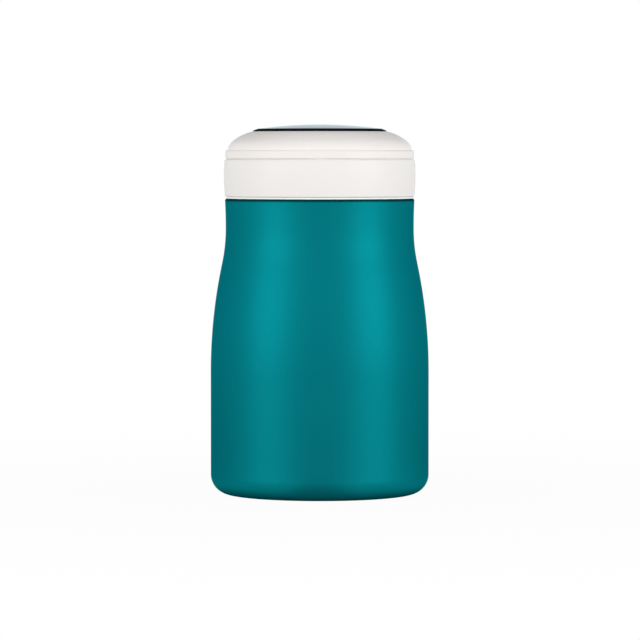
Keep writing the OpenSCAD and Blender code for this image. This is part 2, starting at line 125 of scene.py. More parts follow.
# The room. A span is where a change starts and ends, in a ray's rise from 0 at the horizon to 1 overhead.
# Gloss mirrors a bluish white low down, above it a dark flag that hangs lower at the back, and a paler roof.
HORIZON_LIGHT, OVERHEAD_LIGHT, DIM_SPAN = (0.95, 0.94, 0.93, 1), (0.36, 0.365, 0.37, 1), (0.28, 0.77)
FRONT_SHARE, BACK_SHARE = 1.3, 0.5
MIRRORED_FLAG, FLAG_SPAN, FLAG_TILT = 0.06, (0.56, 0.62), 0.3
MIRRORED_ROOF, ROOF_SPAN = 0.75, (0.64, 0.78)
MIRRORED_HUE, WHITE = (0.8, 0.93, 1, 1), (1, 1, 1, 1)

room = bpy.data.worlds.new("room")
room.use_nodes = True
scene.world = room
tree = room.node_tree
tree.nodes.clear()
way = add(tree, "SeparateXYZ", {0: add(tree, "TexCoord", {}).outputs["Generated"]}).outputs
glow = blend(tree, ramp(tree, way["Z"], *DIM_SPAN), HORIZON_LIGHT, OVERHEAD_LIGHT)
lean = ramp(tree, way["Y"], -1, 1, FRONT_SHARE, BACK_SHARE)
shed = add(tree, "Background", {"Color": glow, "Strength": lean}).outputs[0]
own, gloss = seen_rays(tree)
roof = ramp(tree, way["Z"], *ROOF_SPAN, MIRRORED_FLAG, MIRRORED_ROOF)
tilt = reckon(tree, "MULTIPLY_ADD", way["Y"], FLAG_TILT, way["Z"])
fade = ramp(tree, tilt, *FLAG_SPAN, 1, roof)
hue = blend(tree, own, MIRRORED_HUE, WHITE)
force = reckon(tree, "MAXIMUM", own, fade)
shown = add(tree, "Background", {"Color": hue, "Strength": force}).outputs[0]
seen = reckon(tree, "MAXIMUM", own, gloss)
both = add(tree, "MixShader", {0: seen, 1: shed, 2: shown}).outputs[0]
add(tree, "OutputWorld", {0: both})

# The floor. Spans are in metres from the cup's axis. The camera sees white paper with a trace of the cup's
# shadow. Near the cup a painted shade greys the paper, so that it sheds less light on the foot. Gloss mirrors
# its far part as white, and a painted glow of white on both sides of the foot, as a painted highlight there.
FLOOR_HALF, FIBRES, FLECK = 4, 900, 0.04
PAINTED_SHADE_NEAR, SHED_FAR, SHED_SPAN = 0.55, 0.92, (0.06, 0.5)
SHADOW_VEIL, VEIL_SPAN = 0.965, (0.05, 0.4)
MIRRORED_SPAN = (0.2, 0.45)
PAINTED_GLOW_SHARE, POOL_GAP, POOL_START, POOL_END = 0.95, (0.006, 0.018), (0.037, 0.043), (0.06, 0.09)

paper = bpy.data.materials.new("paper")
paper.use_nodes = True
tree = paper.node_tree
tree.nodes.clear()
place = add(tree, "TexCoord", {}).outputs["Object"]
away = add(tree, "VectorMath", {0: place}, operation="LENGTH").outputs["Value"]
fibre = add(tree, "TexNoise", {"Vector": place, "Scale": FIBRES}).outputs["Fac"]
# Painted shade: the paper's grey is darker near the cup, so that it sheds less light on the foot.
shade = ramp(tree, away, *SHED_SPAN, PAINTED_SHADE_NEAR, SHED_FAR)
lit = add(tree, "BsdfDiffuse", {"Color": reckon(tree, "MULTIPLY_ADD", fibre, FLECK, shade)}).outputs[0]
veil = ramp(tree, away, *VEIL_SPAN, SHADOW_VEIL, 1)
across = reckon(tree, "ABSOLUTE", add(tree, "SeparateXYZ", {0: place}).outputs["X"])
# Painted glow: a pool of white that only gloss sees, on both sides of the foot but not in front of it. The
# foot's round edge mirrors it as a painted highlight.
beside = ramp(tree, across, *POOL_GAP, 0, PAINTED_GLOW_SHARE)
beyond = ramp(tree, away, *POOL_START, 0, beside)
painted_glow = ramp(tree, away, *POOL_END, beyond, 0)
mirrored = reckon(tree, "MAXIMUM", ramp(tree, away, *MIRRORED_SPAN), painted_glow)
own, gloss = seen_rays(tree)
share = reckon(tree, "MULTIPLY_ADD", gloss, mirrored, reckon(tree, "MULTIPLY", own, veil))
white = add(tree, "Emission", {"Color": WHITE, "Strength": 1}).outputs[0]
both = add(tree, "MixShader", {0: share, 1: lit, 2: white}).outputs[0]
add(tree, "OutputMaterial", {0: both})
sweep = bpy.data.meshes.new("floor")
sweep_corners = [(x * FLOOR_HALF, y * FLOOR_HALF, 0) for x, y in ((-1, -1), (1, -1), (1, 1), (-1, 1))]
sweep.from_pydata(sweep_corners, [], [(0, 1, 2, 3)])
sweep.materials.append(paper)
floor = bpy.data.objects.new("floor", sweep)
scene.collection.objects.link(floor)


# Outer shell: steel sheet drawn to a straight belly, drawn in to a waist and flared to the shoulder, under a
# satin teal powder coat. Round the shoulder's edge, where the collar shades it, painted shade darkens the
# coat's colour. The shell's lower edge is folded up into the recess under the foot, and the neck has a rolled
# screw thread.
BELLY_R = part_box("outer_shell")[1].x * 1000
NECK_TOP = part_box("outer_shell")[1].z * 1000
WAIST_R, NECK_R = 34.45, 31.2
BELLY_TOP, WAIST_Z, SHOULDER_Z = 44.8, 97.4, 108.4
HOLLOW_SHARE = 0.24
FLARE_R, FLARE_SHARE, SHOULDER_EDGE = 175.0, 0.92, 0.8
FOOT_R, FOLD_R, RECESS_R, RECESS_LIP = 7.2, 1.0, 30.4, 3.0
SHELL_WALL, SHEET_EDGE, NECK_FILLET, NECK_FILLET_IN = 0.5, 0.12, 0.4, 0.3
THREAD_LEAD, THREAD_W, THREAD_H, THREAD_CREST = 4.2, 2.2, 0.8, 0.7
THREAD_LOW, THREAD_HIGH = 110.0, 116.3
THREAD_ROWS, NECK_ROW_GAPS = 64, (0.8, 0.3)
ALL_ROUND = np.linspace(0, 2 * np.pi, 192, endpoint=False)
SHADE_GUARD, SAME_R = 0.12, 1e-3
# Painted shade of the collar on the coat: its dark tone, and the span in mm below the shoulder's top where it
# fades in.
PAINTED_COLLAR_SHADE, COLLAR_SHADE_SPAN = (0.0006, 0.05, 0.047, 1), (-1.2, -0.7)


def outline(corners, fineness=0.004):
    """Line through corners (r, z, fillet) in millimetres. A corner is cut back by fillet / tan(half its
    angle) along both sides to an arc, in as many steps as keep the chords within fineness of it. A point
    just beyond each end of the arc, at most a quarter of what is left of that side, keeps the shading flat
    there."""
    spots, fillets = np.array(corners, float)[:, :2], np.array(corners, float)[:, 2]
    on = np.roll(spots, -1, 0) - spots
    side = np.linalg.norm(on, axis=1)
    on /= side[:, None]
    back = -np.roll(on, 1, 0)
    half = np.arccos(np.clip((on * back).sum(1), -1, 1)) / 2
    cut = np.where(fillets > 0, fillets / np.tan(half), 0)
    spare = np.clip((side - cut - np.roll(cut, -1)) / 4, 0, SHADE_GUARD)
    runs = []
    for i in range(len(spots)):
        if fillets[i] == 0:
            runs.append(spots[i:i + 1])
            continue
        inwards = (on[i] + back[i]) / np.linalg.norm(on[i] + back[i])
        middle = spots[i] + inwards * fillets[i] / math.sin(half[i])
        turn = np.pi - 2 * half[i]
        steps = max(3, math.ceil(turn / (2 * math.acos(1 - min(fineness / fillets[i], 0.5)))))
        share = np.linspace(0, 1, steps + 1)[:, None]
        start, end = spots[i] + back[i] * cut[i] - middle, spots[i] + on[i] * cut[i] - middle
        arc = middle + (np.sin((1 - share) * turn) * start + np.sin(share * turn) * end) / math.sin(turn)
        runs += [start + middle + back[i:i + 1] * spare[i - 1], arc, end + middle + on[i:i + 1] * spare[i]]
    line = np.vstack(runs)
    return line[np.linalg.norm(line - np.roll(line, 1, 0), axis=1) > 1e-4]


def skin(name, grid, loop):
    """Piece from a grid of points in millimetres: each four neighbours are a face, the columns close on
    themselves, and the rows do too in a loop. Points that meet on the axis are merged."""
    rows, columns = grid.shape[:2]
    index = np.arange(rows * columns).reshape(rows, columns)
    index = np.vstack((index, index[:1])) if loop else index
    index = np.hstack((index, index[:, :1]))
    faces = np.stack((index[:-1, :-1], index[:-1, 1:], index[1:, 1:], index[1:, :-1]), -1).reshape(-1, 4)
    mesh = bpy.data.meshes.new(name)
    mesh.from_pydata((grid.reshape(-1, 3) / 1000).tolist(), [], faces.tolist())
    work = bmesh.new()
    work.from_mesh(mesh)
    bmesh.ops.remove_doubles(work, verts=work.verts, dist=1e-7)
    work.to_mesh(mesh)
    work.free()
    mesh.shade_smooth()
    piece = bpy.data.objects.new(name, mesh)
    scene.collection.objects.link(piece)
    return piece


def turned(name, line, loop=False, around=ALL_ROUND, swell=None):
    """Surface of revolution: the point (r, z) of the line goes to (r cos a, r sin a, z) at each angle a
    round the axis. swell(r, z, a) adds to the radius, for a thread or a nick."""
    r, z, a = line[:, :1] + 0 * around, line[:, 1:] + 0 * around, around + 0 * line[:, :1]
    r = r + swell(r, z, a) if swell else r
    return skin(name, np.stack((r * np.cos(a), r * np.sin(a), z), -1), loop)


def screw_ridge(z, a, start, low, high):
    """Height from 0 to 1 of a right-hand ridge whose crest climbs one lead a turn from start. Across its
    width it is a raised cosine, filled out by a power below 1, and it fades out in a quarter of a turn at
    both ends."""
    turns = (z - start) / THREAD_LEAD - a / (2 * np.pi)
    off = (turns - np.round(turns)) * THREAD_LEAD
    across = np.where(np.abs(off) < THREAD_W / 2, 0.5 + 0.5 * np.cos(2 * np.pi * off / THREAD_W), 0)
    ends = np.clip(np.minimum(z - off - low, high - z + off) / (THREAD_LEAD / 4), 0, 1)
    return across ** THREAD_CREST * ends * ends * (3 - 2 * ends)


def draw_in(wide, low, narrow, high, inset):
    """Corners of a draw-in from a wide radius to a narrow one, a full arc running into a hollow one. Both
    turn by 2 atan(dr / dz), and their radii add up to (dr^2 + dz^2) / 2 dr. inset moves both arcs inwards."""
    dr, dz = wide - narrow, high - low
    radii, turn = (dr * dr + dz * dz) / (2 * dr), 2 * math.atan(dr / dz)
    hollow = HOLLOW_SHARE * radii + inset
    full = (1 - HOLLOW_SHARE) * radii - inset
    return [(wide - inset, low + full * math.tan(turn / 2), full),
            (narrow - inset, high - hollow * math.tan(turn / 2), hollow)]


def shell_side(inset):
    """Corners of the shell from the recess round the foot and up to the shoulder, moved in by a wall."""
    lean = math.asin((SHOULDER_Z - SHOULDER_EDGE - WAIST_Z) / FLARE_R)
    edge_r = WAIST_R + FLARE_R * (1 - math.cos(lean))
    return [(RECESS_R + inset, inset, FOLD_R - inset), (BELLY_R - inset, inset, FOOT_R - inset),
            *draw_in(BELLY_R, BELLY_TOP, WAIST_R, WAIST_Z, inset),
            (WAIST_R - inset, WAIST_Z + FLARE_R * math.tan(lean / 2), (FLARE_R + inset) * FLARE_SHARE),
            (edge_r - inset, SHOULDER_Z - inset, SHOULDER_EDGE - inset)]


def finish(name, tones, patches, fine, rough, relief, stretch=(1, 1, 1), fixed=None):
    """Material on the piece's own coordinates. Broad noise, so many patches a metre, slides the colour from
    one tone to the other. Fine noise, so many grains a metre, slides the roughness and lifts the surface by
    relief in millimetres. stretch scales the fine noise along each axis, and fixed sets the shader's own
    sockets."""
    material = bpy.data.materials.new(name)
    material.use_nodes = True
    tree = material.node_tree
    shader = tree.nodes["Principled BSDF"]
    for socket, value in (fixed or {}).items():
        shader.inputs[socket].default_value = value
    place = add(tree, "TexCoord", {}).outputs["Object"]
    broad = add(tree, "TexNoise", {"Vector": place, "Scale": patches, "Detail": 3}).outputs["Fac"]
    drawn = add(tree, "Mapping", {"Vector": place, "Scale": stretch}).outputs[0]
    grain = add(tree, "TexNoise", {"Vector": drawn, "Scale": fine, "Detail": 4}, name="grain").outputs["Fac"]
    bump = add(tree, "Bump", {"Strength": 1, "Distance": relief / 1000, "Height": grain}).outputs[0]
    tree.links.new(blend(tree, broad, (*tones[0], 1), (*tones[1], 1)), shader.inputs["Base Color"])
    tree.links.new(ramp(tree, grain, 0, 1, *rough), shader.inputs["Roughness"])
    tree.links.new(bump, shader.inputs["Normal"])
    return material


def dress(piece, material, body, slot, *nodes):
    """Puts the finish on a piece that rides on a body and stands for nodes of the frame."""
    piece.data.materials.append(material)
    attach(piece, body)
    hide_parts(*nodes)


neck_z = np.linspace(SHOULDER_Z + NECK_ROW_GAPS[0], NECK_TOP - NECK_ROW_GAPS[1], THREAD_ROWS)
shell_line = outline([(RECESS_R, RECESS_LIP, SHEET_EDGE), *shell_side(0), (NECK_R, SHOULDER_Z, NECK_FILLET),
                      *((NECK_R, z, 0) for z in neck_z), (NECK_R, NECK_TOP, SHEET_EDGE),
                      (NECK_R - SHELL_WALL, NECK_TOP, SHEET_EDGE),
                      (NECK_R - SHELL_WALL, SHOULDER_Z - SHELL_WALL, NECK_FILLET_IN),
                      *shell_side(SHELL_WALL)[::-1], (RECESS_R + SHELL_WALL, RECESS_LIP, SHEET_EDGE)])
powder_coat = finish("teal_powder_coat", ((0.0012, 0.182, 0.207), (0.0018, 0.194, 0.219)), patches=22,
                     fine=2600, rough=(0.44, 0.54), relief=0.012,
                     fixed={"Metallic": 0.65, "Specular IOR Level": 0, "Specular Tint": (0.01, 0.45, 0.5, 1)})
# Painted shade: the coat's colour is blended to a dark tone from 1.2 mm below the shoulder's top, fully dark
# from 0.7 mm below it and up the neck, standing in for the collar's shade.
tree = powder_coat.node_tree
height = add(tree, "SeparateXYZ", {0: add(tree, "TexCoord", {}).outputs["Object"]}).outputs["Z"]
edge = ramp(tree, height, *((SHOULDER_Z + rise) / 1000 for rise in COLLAR_SHADE_SPAN))
base = tree.nodes["Principled BSDF"].inputs["Base Color"]
tree.links.new(blend(tree, edge, base.links[0].from_socket, PAINTED_COLLAR_SHADE), base)
outer_shell = turned("outer_shell_coated", shell_line, loop=True, swell=lambda r, z, a: np.where(
    np.abs(r - NECK_R) < SAME_R, THREAD_H * screw_ridge(z, a, THREAD_LOW, THREAD_LOW, THREAD_HIGH), 0))
dress(outer_shell, powder_coat, "cup", "teal_coat", "outer_shell")


# Inner liner and its pressed bottom: thin stainless sheet, electropolished, with faint turning lines. The
# tube is rolled over the shell's neck in a round lip, and the bottom is welded to it above its round edge.
LIP_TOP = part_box("inner_liner")[1].z * 1000
LINER_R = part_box("inner_liner")[1].x * 1000
LINER_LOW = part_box("liner_base")[0].z * 1000
WELD_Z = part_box("inner_liner")[0].z * 1000
MOUTH_R, LINER_WALL, LINER_EDGE, LINER_NECK_Z = 28.9, 0.4, 8.8, 104.0
WELD_EDGE, ROLL_FILLET, ROLL_EDGE = 0.06, 0.15, 0.05
RIM_GAP = 0.01

liner_side = [draw_in(LINER_R, BELLY_TOP, MOUTH_R + LINER_WALL, LINER_NECK_Z, inset)
              for inset in (0, LINER_WALL)]
lip_round = (NECK_R - MOUTH_R) / 2 - RIM_GAP
liner_line = outline([(LINER_R - LINER_WALL, WELD_Z, WELD_EDGE), (LINER_R, WELD_Z, WELD_EDGE), *liner_side[0],
                      (MOUTH_R + LINER_WALL, NECK_TOP, ROLL_FILLET), (NECK_R, NECK_TOP, ROLL_EDGE),
                      (NECK_R, LIP_TOP, lip_round), (MOUTH_R, LIP_TOP, lip_round), *liner_side[1][::-1]])
bottom_line = outline([(0, LINER_LOW, 0), (LINER_R, LINER_LOW, LINER_EDGE), (LINER_R, WELD_Z, WELD_EDGE),
                       (LINER_R - LINER_WALL, WELD_Z, WELD_EDGE),
                       (LINER_R - LINER_WALL, LINER_LOW + LINER_WALL, LINER_EDGE - LINER_WALL),
                       (0, LINER_LOW + LINER_WALL, 0)])
liner_steel = finish("electropolished_steel", ((0.56, 0.555, 0.545), (0.62, 0.615, 0.605)), patches=30,
                     fine=160, rough=(0.16, 0.3), relief=0.004, stretch=(1, 1, 30), fixed={"Metallic": 1})
dress(turned("inner_liner_tube", liner_line, loop=True), liner_steel, "cup", "bare_steel", "inner_liner")
dress(turned("inner_liner_bottom", bottom_line), liner_steel, "cup", "bare_steel", "liner_base")


# Base: a welded steel plate with a bead of solder glass in its evacuation hole and a getter pill on its
# back, all hidden by a spun steel cover disc that is glued into the recess. A shallow step is stamped into
# the cover.
COVER_LOW, COVER_HIGH = (corner.z * 1000 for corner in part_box("base_cover"))
COVER_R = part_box("base_cover")[1].x * 1000
COVER_EDGE, COVER_BACK_EDGE = 0.25, 0.1
STAMP_R, STAMP_H, STAMP_RUN, STAMP_EDGE = 24.0, 0.15, 3, 0.3
SPUN_RINGS = 4000

cover_line = outline([(0, COVER_LOW + STAMP_H, 0), (STAMP_R, COVER_LOW + STAMP_H, STAMP_EDGE),
                      (STAMP_R + STAMP_RUN * STAMP_H, COVER_LOW, STAMP_EDGE),
                      (COVER_R, COVER_LOW, COVER_EDGE), (COVER_R, COVER_HIGH, COVER_BACK_EDGE),
                      (0, COVER_HIGH, 0)])
spun_steel = finish("spun_steel", ((0.5, 0.5, 0.49), (0.56, 0.56, 0.55)), patches=40, fine=SPUN_RINGS,
                    rough=(0.22, 0.42), relief=0.004, fixed={"Metallic": 1})
tree = spun_steel.node_tree
place = add(tree, "TexCoord", {}).outputs["Object"]
flat = add(tree, "Mapping", {"Vector": place, "Scale": (1, 1, 0)}).outputs[0]
radius = add(tree, "VectorMath", {0: flat}, operation="LENGTH").outputs["Value"]
rings = tree.nodes["grain"]
rings.noise_dimensions = "1D"
tree.links.new(radius, rings.inputs["W"])
dress(turned("base_cover_disc", cover_line), spun_steel, "cup", "cover_steel", "base_cover")

plate_steel = finish("rolled_plate_steel", ((0.46, 0.455, 0.45), (0.54, 0.535, 0.53)), patches=60, fine=500,
                     rough=(0.3, 0.5), relief=0.004, stretch=(1, 12, 1), fixed={"Metallic": 1})
solder_glass = finish("solder_glass", ((0.05, 0.05, 0.056), (0.11, 0.11, 0.12)), patches=500, fine=1500,
                      rough=(0.12, 0.3), relief=0.02)
getter_metal = finish("sintered_getter", ((0.2, 0.2, 0.2), (0.36, 0.36, 0.35)), patches=2500, fine=6000,
                      rough=(0.6, 0.9), relief=0.05, fixed={"Metallic": 0.8})
for node, material in (("base_plate", plate_steel), ("vacuum_seal", solder_glass), ("getter", getter_metal)):
    frame["nodes"][node].material_slots[0].material = material


# Neck ring and mouth seal: pale silicone. The ring lies on the shoulder and closes the gap under the collar.
# The seal lies on the lip and is pressed by the collar's deck, with two fine sealing ribs above and below.
RING_LOW, RING_HIGH = (corner.z * 1000 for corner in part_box("neck_ring"))
RING_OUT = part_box("neck_ring")[1].x * 1000
SEAL_LOW, SEAL_HIGH = (corner.z * 1000 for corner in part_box("mouth_seal"))
SEAL_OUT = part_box("mouth_seal")[1].x * 1000
RING_IN, RING_EDGE, RING_RISE = 31.3, 0.1, 0.06
SEAL_IN, SEAL_EDGE = 28.7, 0.25
RIB_SHARES, RIB_DEPTH, RIB_EDGE = (0.3, 0.4, 0.6, 0.7), 0.18, 0.1
SOFT_MATT = {"patches": 120, "fine": 3000, "rough": (0.5, 0.65), "relief": 0.01}

ring_top = RING_HIGH + RING_RISE
ring_line = outline([(RING_IN, RING_LOW, RING_EDGE), (RING_OUT, RING_LOW, RING_EDGE),
                     (RING_OUT, ring_top, RING_EDGE), (RING_IN, ring_top, RING_EDGE)])
rib_r = SEAL_IN + (SEAL_OUT - SEAL_IN) * np.array(RIB_SHARES)
rib_in = (0, RIB_DEPTH, RIB_DEPTH, 0)
seal_line = outline([(SEAL_IN, SEAL_LOW, SEAL_EDGE),
                     *((r, SEAL_LOW + deep, RIB_EDGE) for r, deep in zip(rib_r, rib_in)),
                     (SEAL_OUT, SEAL_LOW, SEAL_EDGE), (SEAL_OUT, SEAL_HIGH, SEAL_EDGE),
                     *((r, SEAL_HIGH - deep, RIB_EDGE) for r, deep in zip(rib_r[::-1], rib_in)),
                     (SEAL_IN, SEAL_HIGH, SEAL_EDGE)])
silicone = finish("pale_silicone", ((0.76, 0.78, 0.76), (0.82, 0.84, 0.82)), **SOFT_MATT,
                  fixed={"Subsurface Weight": 0.15, "Subsurface Radius": (0.001, 0.001, 0.001)})
white_silicone = finish("white_silicone", ((0.92, 0.94, 0.93), (0.95, 0.97, 0.96)), **SOFT_MATT)
dress(turned("neck_ring_silicone", ring_line, loop=True), white_silicone, "cup", "silicone", "neck_ring")
dress(turned("mouth_seal_ribbed", seal_line, loop=True), silicone, "mouth_seal", "silicone", "mouth_seal")


# Mouthpiece: the collar's moulded core. Inside it carries the thread that runs on the neck, and above the
# deck it stands up in the round-edged drinking spout. A short spigot centres it in the mouth.
CORE_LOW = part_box("mouthpiece")[0].z * 1000
SPOUT_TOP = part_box("mouthpiece")[1].z * 1000
CORE_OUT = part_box("mouthpiece")[1].x * 1000
CORE_IN, CORE_EDGE, DECK_LOW, DECK_TOP = 32.3, 0.2, SEAL_HIGH, 121.25
CORE_ROW_GAPS, CORE_THREAD_GAPS = (0.5, 0.4), (0.9, 3)
SPOUT_R, SPOUT_OUT, SPOUT_FILLET = 25.0, 27.4, 0.4
SPIGOT_IN, SPIGOT_OUT, SPIGOT_LOW, SPIGOT_EDGE, SPIGOT_FILLET = 27.2, 28.4, 118.1, 0.25, 0.15

core_z = np.linspace(DECK_LOW - CORE_ROW_GAPS[0], CORE_LOW + CORE_ROW_GAPS[1], THREAD_ROWS)
spout_round = (SPOUT_OUT - SPOUT_R) / 2 - RIM_GAP
core_line = outline([(CORE_IN, CORE_LOW, CORE_EDGE), (CORE_OUT, CORE_LOW, CORE_EDGE),
                     (CORE_OUT, DECK_TOP, CORE_EDGE), (SPOUT_OUT, DECK_TOP, SPOUT_FILLET),
                     (SPOUT_OUT, SPOUT_TOP, spout_round), (SPOUT_R, SPOUT_TOP, spout_round),
                     (SPOUT_R, DECK_LOW, SPOUT_FILLET), (SPIGOT_IN, DECK_LOW, SPIGOT_FILLET),
                     (SPIGOT_IN, SPIGOT_LOW, SPIGOT_EDGE), (SPIGOT_OUT, SPIGOT_LOW, SPIGOT_EDGE),
                     (SPIGOT_OUT, DECK_LOW, SPIGOT_FILLET), (CORE_IN, DECK_LOW, CORE_EDGE),
                     *((CORE_IN, z, 0) for z in core_z)])
core_plastic = finish("smooth_core_plastic", ((0.72, 0.715, 0.70), (0.77, 0.765, 0.75)), patches=60,
                      fine=2200, rough=(0.3, 0.42), relief=0.006,
                      fixed={"Subsurface Weight": 0.1, "Subsurface Radius": (0.002, 0.0016, 0.0013)})
mouthpiece = turned("mouthpiece_threaded", core_line, loop=True, swell=lambda r, z, a: np.where(
    np.abs(r - CORE_IN) < SAME_R,
    -THREAD_H * screw_ridge(z, a, THREAD_LOW + THREAD_LEAD / 2, CORE_LOW + CORE_THREAD_GAPS[0],
                            DECK_LOW - CORE_THREAD_GAPS[1]), 0))
dress(mouthpiece, core_plastic, "collar", "core_plastic", "mouthpiece")


# Collar skirt: the plain outer ring, moulded in fine matt white with a slight barrel and a flange that covers
# the deck. At the back it carries the two ears of the hinge, each a barrel on a web that runs down into the
# skirt.
SKIRT_LOW, SKIRT_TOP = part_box("collar_skirt")[0].z * 1000, 122.75
SKIRT_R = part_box("collar_skirt")[1].x * 1000
SKIRT_IN, SKIRT_IN_EDGE, SEAT_EDGE = 33.7, 0.15, 0.1
SKIRT_LOW_EDGE, SKIRT_TOP_EDGE = 0.4, 0.8
FLANGE_R, FLANGE_EDGE = 28.0, 0.3
BARREL_CURVE, BARREL_SHARE = 80.0, 0.55
ARC_SHARE = 0.98
FINE_MATT = {"patches": 45, "fine": 3200, "rough": (0.42, 0.54), "relief": 0.008,
             "fixed": {"Subsurface Weight": 0.08, "Subsurface Radius": (0.002, 0.0016, 0.0013)}}

bulge_z = SKIRT_LOW + BARREL_SHARE * (SKIRT_TOP - SKIRT_LOW)
barrel_c = SKIRT_R - BARREL_CURVE


def barrel_end(rise, edge):
    """Turn of the skirt's large arc from its bulge to the round edge at one end, which lies rise away, with
    sin(turn) = (rise - edge) / (curve - edge), and the radius of the corner there, on the tangent."""
    turn = math.asin((rise - edge) / (BARREL_CURVE - edge))
    return turn, barrel_c + (BARREL_CURVE - rise * math.sin(turn)) / math.cos(turn)


low_turn, low_r = barrel_end(bulge_z - SKIRT_LOW, SKIRT_LOW_EDGE)
top_turn, top_r = barrel_end(SKIRT_TOP - bulge_z, SKIRT_TOP_EDGE)
barrel_reach, barrel_lean = BARREL_CURVE / math.cos((low_turn + top_turn) / 2), (top_turn - low_turn) / 2
skirt_line = outline([(SKIRT_IN, SKIRT_LOW, SKIRT_IN_EDGE), (low_r, SKIRT_LOW, SKIRT_LOW_EDGE),
                      (barrel_c + barrel_reach * math.cos(barrel_lean),
                       bulge_z + barrel_reach * math.sin(barrel_lean), BARREL_CURVE * ARC_SHARE),
                      (top_r, SKIRT_TOP, SKIRT_TOP_EDGE), (FLANGE_R, SKIRT_TOP, FLANGE_EDGE),
                      (FLANGE_R, DECK_TOP, SEAT_EDGE), (SKIRT_IN, DECK_TOP, SEAT_EDGE)])
matt_white = finish("matt_white_plastic", ((0.838, 0.81, 0.79), (0.868, 0.84, 0.82)), **FINE_MATT)
dress(turned("collar_skirt_ring", skirt_line, loop=True), matt_white, "collar", "white_plastic",
      "collar_skirt")

lid_hinge = next(joint for joint in frame["joints"] if joint["name"] == "lid_hinge")
HINGE_Y, HINGE_Z = (value * 1000 for value in lid_hinge["pos_m"][1:])
BARREL_R, EAR_BORE_R, EAR_X, EAR_W = 2.15, 1.02, 4.6, 4.4
EAR_FOOT, EAR_HEAD_Z, EAR_ROOT_Y = (34.4, 115.75), 122.0, 33.6
HINGE_EDGE, HINGE_STEPS, EDGE_STEPS = 0.3, 160, 5
CORNER_GUARD, CREASE = 0.004, math.radians(38)


def hinge_web(foot, root_y, head_z, side):
    """Corners of a web, in millimetres from the hinge axis: where a line from its foot touches the barrel,
    at the foot's own angle plus or minus acos(barrel radius / distance), where that line meets the root, and
    the other end of the root."""
    y, z, root = foot[0] - HINGE_Y, foot[1] - HINGE_Z, root_y - HINGE_Y
    angle = math.atan2(z, y) + side * math.acos(BARREL_R / math.hypot(y, z))
    touch = (BARREL_R * math.cos(angle), BARREL_R * math.sin(angle))
    slope = (touch[1] - z) / (touch[0] - y)
    return [touch, (root, z + slope * (root - y)), (root, head_z - HINGE_Z)]


def hinge_piece(name, webs, bore, x0, x1, first=0):
    """Part of the hinge, carried along X from x0 to x1 round a bore. Its outline is the barrel's circle,
    drawn out to the straight sides of each web where they lie further out: along the angle b a side through
    two points lies at (y1 z2 - y2 z1) / ((z2 - z1) cos b - (y2 - y1) sin b). The angles start at first,
    outside every web. The edges at both ends are quarter rounds."""
    angle = [[(math.atan2(z, y) - first) % (2 * math.pi) + first for y, z in web] for web in webs]
    corners = (np.array(at)[:, None] + (-CORNER_GUARD, 0, CORNER_GUARD) for at in angle)
    b = np.unique(np.concatenate((first + np.linspace(0, 2 * np.pi, HINGE_STEPS, endpoint=False), *corners),
                                 axis=None))
    reach = np.full_like(b, BARREL_R)
    for web, at in zip(webs, angle):
        for (y1, z1), (y2, z2), b1, b2 in zip(web, web[1:], at, at[1:]):
            side = (y1 * z2 - y2 * z1) / ((z2 - z1) * np.cos(b) - (y2 - y1) * np.sin(b))
            reach = np.where((b >= b1) & (b <= b2), np.maximum(reach, side), reach)
    turn = np.linspace(0, np.pi / 2, EDGE_STEPS)
    rise, run = HINGE_EDGE * (1 - np.sin(turn)), HINGE_EDGE * (1 - np.cos(turn))
    inset = np.concatenate(([2 * HINGE_EDGE], rise, run, [2 * HINGE_EDGE]))
    x = np.concatenate(([x0, x0], x0 + run, x1 - rise, [x1, x1]))
    rim = np.vstack((0 * b + bore, reach - inset[:, None], 0 * b + bore))
    grid = np.stack((x[:, None] + 0 * rim, HINGE_Y + rim * np.cos(b), HINGE_Z + rim * np.sin(b)), -1)
    piece = skin(name, grid, loop=True)
    piece.data.set_sharp_from_angle(angle=CREASE)
    return piece


ear_web = hinge_web(EAR_FOOT, EAR_ROOT_Y, EAR_HEAD_Z, 1)[::-1]
for side, x0 in (("left", -EAR_X - EAR_W), ("right", EAR_X)):
    dress(hinge_piece("hinge_ear_" + side, [ear_web], EAR_BORE_R, x0, x0 + EAR_W), matt_white, "collar",
          "white_plastic", "collar_skirt")


# Hinge pin: a plain ground steel pin with broken ends. It is pressed into the ears of the skirt, and the
# lid's knuckle turns on it.
PIN_R, PIN_HALF, PIN_BREAK = 1.0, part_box("hinge_pin")[1].x * 1000, 0.2
PIN_ROUND = np.linspace(0, 2 * np.pi, 48, endpoint=False)

pin_line = outline([(0, -PIN_HALF, 0), (PIN_R, -PIN_HALF, PIN_BREAK), (PIN_R, PIN_HALF, PIN_BREAK),
                    (0, PIN_HALF, 0)])
pin_r = pin_line[:, :1]
pin_grid = np.stack((pin_line[:, 1:] + 0 * PIN_ROUND, HINGE_Y + pin_r * np.cos(PIN_ROUND),
                     HINGE_Z + pin_r * np.sin(PIN_ROUND)), -1)
ground_steel = finish("ground_steel", ((0.46, 0.46, 0.455), (0.54, 0.54, 0.535)), patches=200, fine=900,
                      rough=(0.2, 0.38), relief=0.003, stretch=(6, 1, 1), fixed={"Metallic": 1})
dress(skin("hinge_pin_ground", pin_grid, loop=False), ground_steel, "collar", "screw_steel", "hinge_pin")


